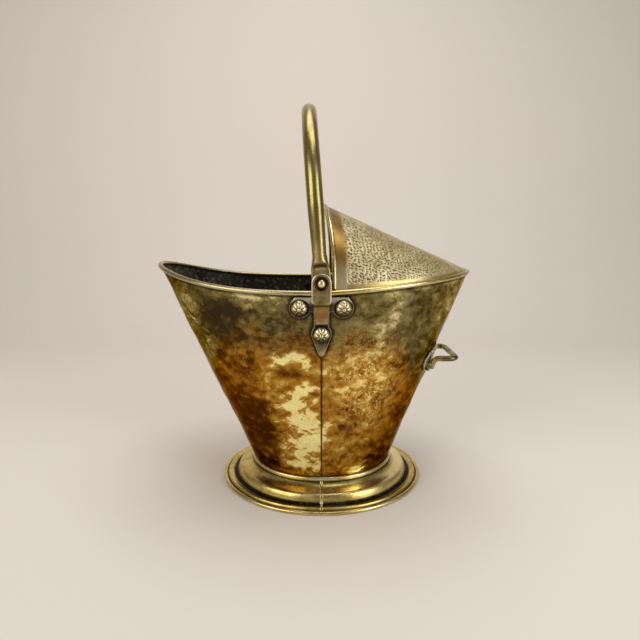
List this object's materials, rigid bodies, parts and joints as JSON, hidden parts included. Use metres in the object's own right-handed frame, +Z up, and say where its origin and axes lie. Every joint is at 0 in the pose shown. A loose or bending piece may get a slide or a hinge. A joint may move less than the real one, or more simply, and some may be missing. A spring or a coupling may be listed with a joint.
{
  "type": "coal scuttle",
  "caption": "Helmet-shaped hammered brass coal scuttle with a half hood, an oval moulded foot, a swinging bail on trefoil ears and a tilting loop at the back.",
  "frame": {"origin": "on the floor under the middle of the overall length and width, at the level of the foot's hem", "axes": "+Z up; -X towards the open mouth and +X towards the hood and rear loop; +Y across, along the axis of the swinging handle"},
  "size_m": [0.408, 0.2796, 0.4886],
  "materials": {
    "hammered_brass": "hammered sheet, golden with olive and brown patina",
    "punched_brass": "sheet with fine punched dots, pale gold",
    "bright_brass": "smooth, rubbed bright",
    "foot_brass": "smooth moulded sheet with dark recesses",
    "cast_brass": "smooth casting, worn along its edges",
    "rosette_brass": "chased heads, dark between the petals",
    "handle_brass": "smooth solid rod, rubbed by hands",
    "plain_brass": "dull sheet blackened by coal",
    "iron_wire": "plain wire inside the rolled edges"
  },
  "bodies": {
    "scuttle": {"body_mouth_sheet": "hammered_brass", "body_back_sheet": "hammered_brass", "rim_bead": "bright_brass", "rim_wire": "iron_wire", "seam_straps": "plain_brass", "foot_mouth_half": "foot_brass", "foot_back_half": "foot_brass", "foot_seam_strips": "bright_brass", "hem_bead": "bright_brass", "hem_wire": "iron_wire", "waist_band": "bright_brass", "floor_plate": "plain_brass", "hood": "punched_brass", "arch_bead": "bright_brass", "arch_wire": "iron_wire", "ear_plate_near": "cast_brass", "ear_plate_far": "cast_brass", "rosettes_near": "rosette_brass", "rosettes_far": "rosette_brass", "burrs_near": "plain_brass", "burrs_far": "plain_brass", "pivot_pin_near": "rosette_brass", "pivot_pin_far": "rosette_brass", "pivot_washers": "plain_brass", "rear_plate": "cast_brass", "rear_handle": "handle_brass", "rear_studs": "rosette_brass", "rear_burrs": "plain_brass"},
    "bail_handle": {"bail": "handle_brass"}
  },
  "joints": [
    {"name": "bail_swing", "type": "hinge", "parent": "scuttle", "child": "bail_handle", "pos_m": [0.01055, 0, 0.279], "axis": [0, 1, 0], "range_deg": [-78.5, 90.5]}
  ]
}
